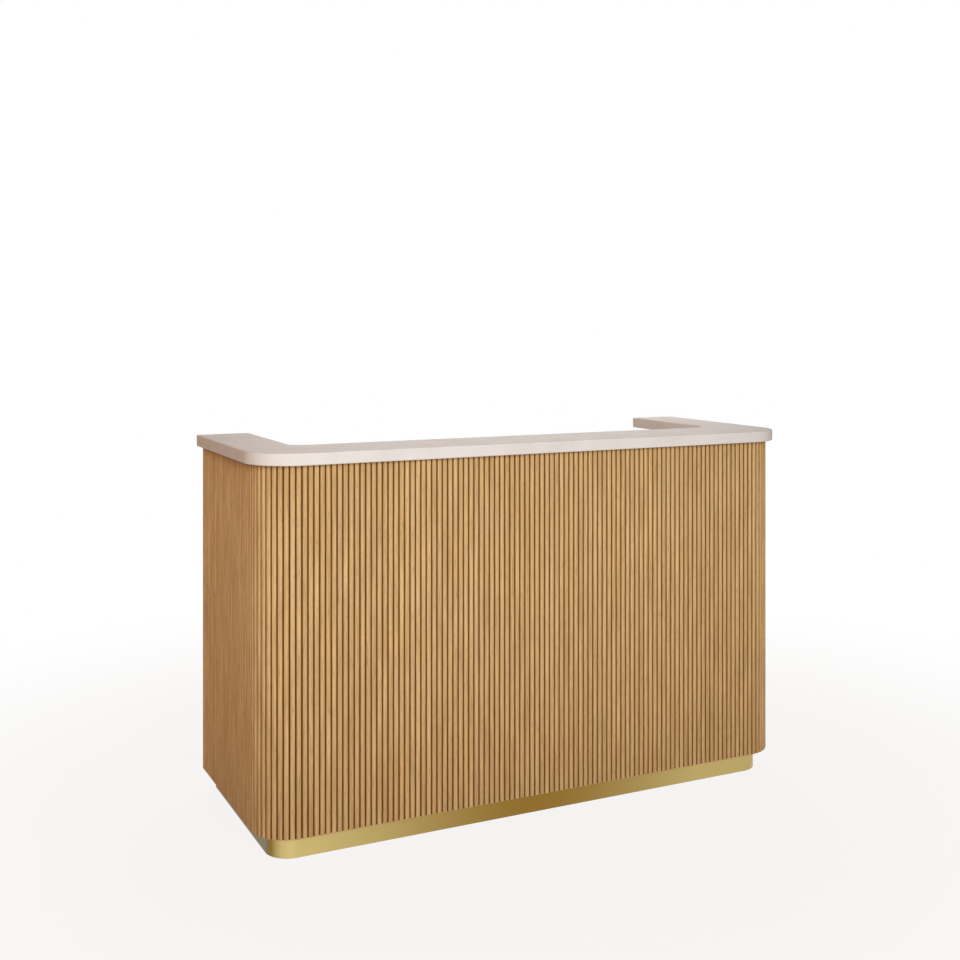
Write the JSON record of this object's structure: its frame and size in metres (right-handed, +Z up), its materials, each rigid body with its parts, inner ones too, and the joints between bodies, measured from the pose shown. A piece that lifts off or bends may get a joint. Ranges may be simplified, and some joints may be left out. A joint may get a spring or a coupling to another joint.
{
  "type": "reception desk",
  "caption": "Reception desk with a U-shaped counter, fluted oak walls with round front corners and a brass plinth; staff side has a worktop, drawers and a cupboard.",
  "frame": {"origin": "on the floor, under the middle of the desk's box", "axes": "+Z up, +X to the right as a customer sees the front, +Y from the customer's side to the staff side"},
  "size_m": [1.6, 0.61, 1],
  "materials": {
    "oak_flutes": "matt lacquered oak, rounded reeds",
    "oak_veneer": "matt lacquered oak veneer",
    "white_board": "warm white melamine-faced board",
    "raw_board": "plain board, not lacquered",
    "solid_surface": "satin solid surface",
    "brass": "brushed brass",
    "zinc_steel": "bright zinc plate",
    "painted_steel": "satin powder coat",
    "grey_plastic": "fine moulded texture"
  },
  "bodies": {
    "desk": {"plinth_skirt": "brass", "plinth_front_beam": "white_board", "plinth_left_outer_rail": "white_board", "plinth_left_inner_rail": "white_board", "plinth_left_kick": "white_board", "plinth_right_outer_rail": "white_board", "plinth_right_inner_rail": "white_board", "plinth_right_kick": "white_board", "base_board": "white_board", "front_panel": "white_board", "left_corner_shell": "white_board", "right_corner_shell": "white_board", "left_side_panel": "white_board", "right_side_panel": "white_board", "front_flutes": "oak_flutes", "left_corner_flutes": "oak_flutes", "right_corner_flutes": "oak_flutes", "left_side_flutes": "oak_flutes", "right_side_flutes": "oak_flutes", "left_end_post": "oak_veneer", "right_end_post": "oak_veneer", "counter_slab": "solid_surface", "counter_core": "raw_board", "worktop": "white_board", "grommet_sleeve": "grey_plastic", "drawer_partition": "white_board", "top_drawer_left_track": "zinc_steel", "top_drawer_right_track": "zinc_steel", "middle_drawer_left_track": "zinc_steel", "middle_drawer_right_track": "zinc_steel", "bottom_drawer_left_track": "zinc_steel", "bottom_drawer_right_track": "zinc_steel", "cupboard_partition": "white_board", "cupboard_shelf": "white_board", "upper_hinge_frame_leaf": "brass", "lower_hinge_frame_leaf": "brass", "door_catch": "grey_plastic"},
    "top_drawer": {"top_drawer_front": "oak_veneer", "top_drawer_handle": "brass", "top_drawer_tray": "painted_steel", "top_drawer_left_runner": "zinc_steel", "top_drawer_right_runner": "zinc_steel"},
    "middle_drawer": {"middle_drawer_front": "oak_veneer", "middle_drawer_handle": "brass", "middle_drawer_tray": "painted_steel", "middle_drawer_left_runner": "zinc_steel", "middle_drawer_right_runner": "zinc_steel"},
    "bottom_drawer": {"bottom_drawer_front": "oak_veneer", "bottom_drawer_handle": "brass", "bottom_drawer_tray": "painted_steel", "bottom_drawer_left_runner": "zinc_steel", "bottom_drawer_right_runner": "zinc_steel"},
    "door": {"cupboard_door": "oak_veneer", "cupboard_door_handle": "brass", "upper_hinge_door_leaf": "brass", "lower_hinge_door_leaf": "brass", "door_strike_plate": "zinc_steel"},
    "cap": {"grommet_cap": "grey_plastic"}
  },
  "joints": [
    {"name": "top_drawer_slide", "type": "slide", "parent": "desk", "child": "top_drawer", "axis": [0, 1, 0], "range_m": [0, 0.3]},
    {"name": "middle_drawer_slide", "type": "slide", "parent": "desk", "child": "middle_drawer", "axis": [0, 1, 0], "range_m": [0, 0.3]},
    {"name": "bottom_drawer_slide", "type": "slide", "parent": "desk", "child": "bottom_drawer", "axis": [0, 1, 0], "range_m": [0, 0.3]},
    {"name": "door_swing", "type": "hinge", "parent": "desk", "child": "door", "pos_m": [0.7501, 0.2706, 0.4015], "axis": [0, 0, -1], "range_deg": [0, 90]},
    {"name": "cap_turn", "type": "hinge", "parent": "desk", "child": "cap", "pos_m": [0, -0.2087, 0.751], "axis": [0, 0, 1], "continuous": true}
  ]
}
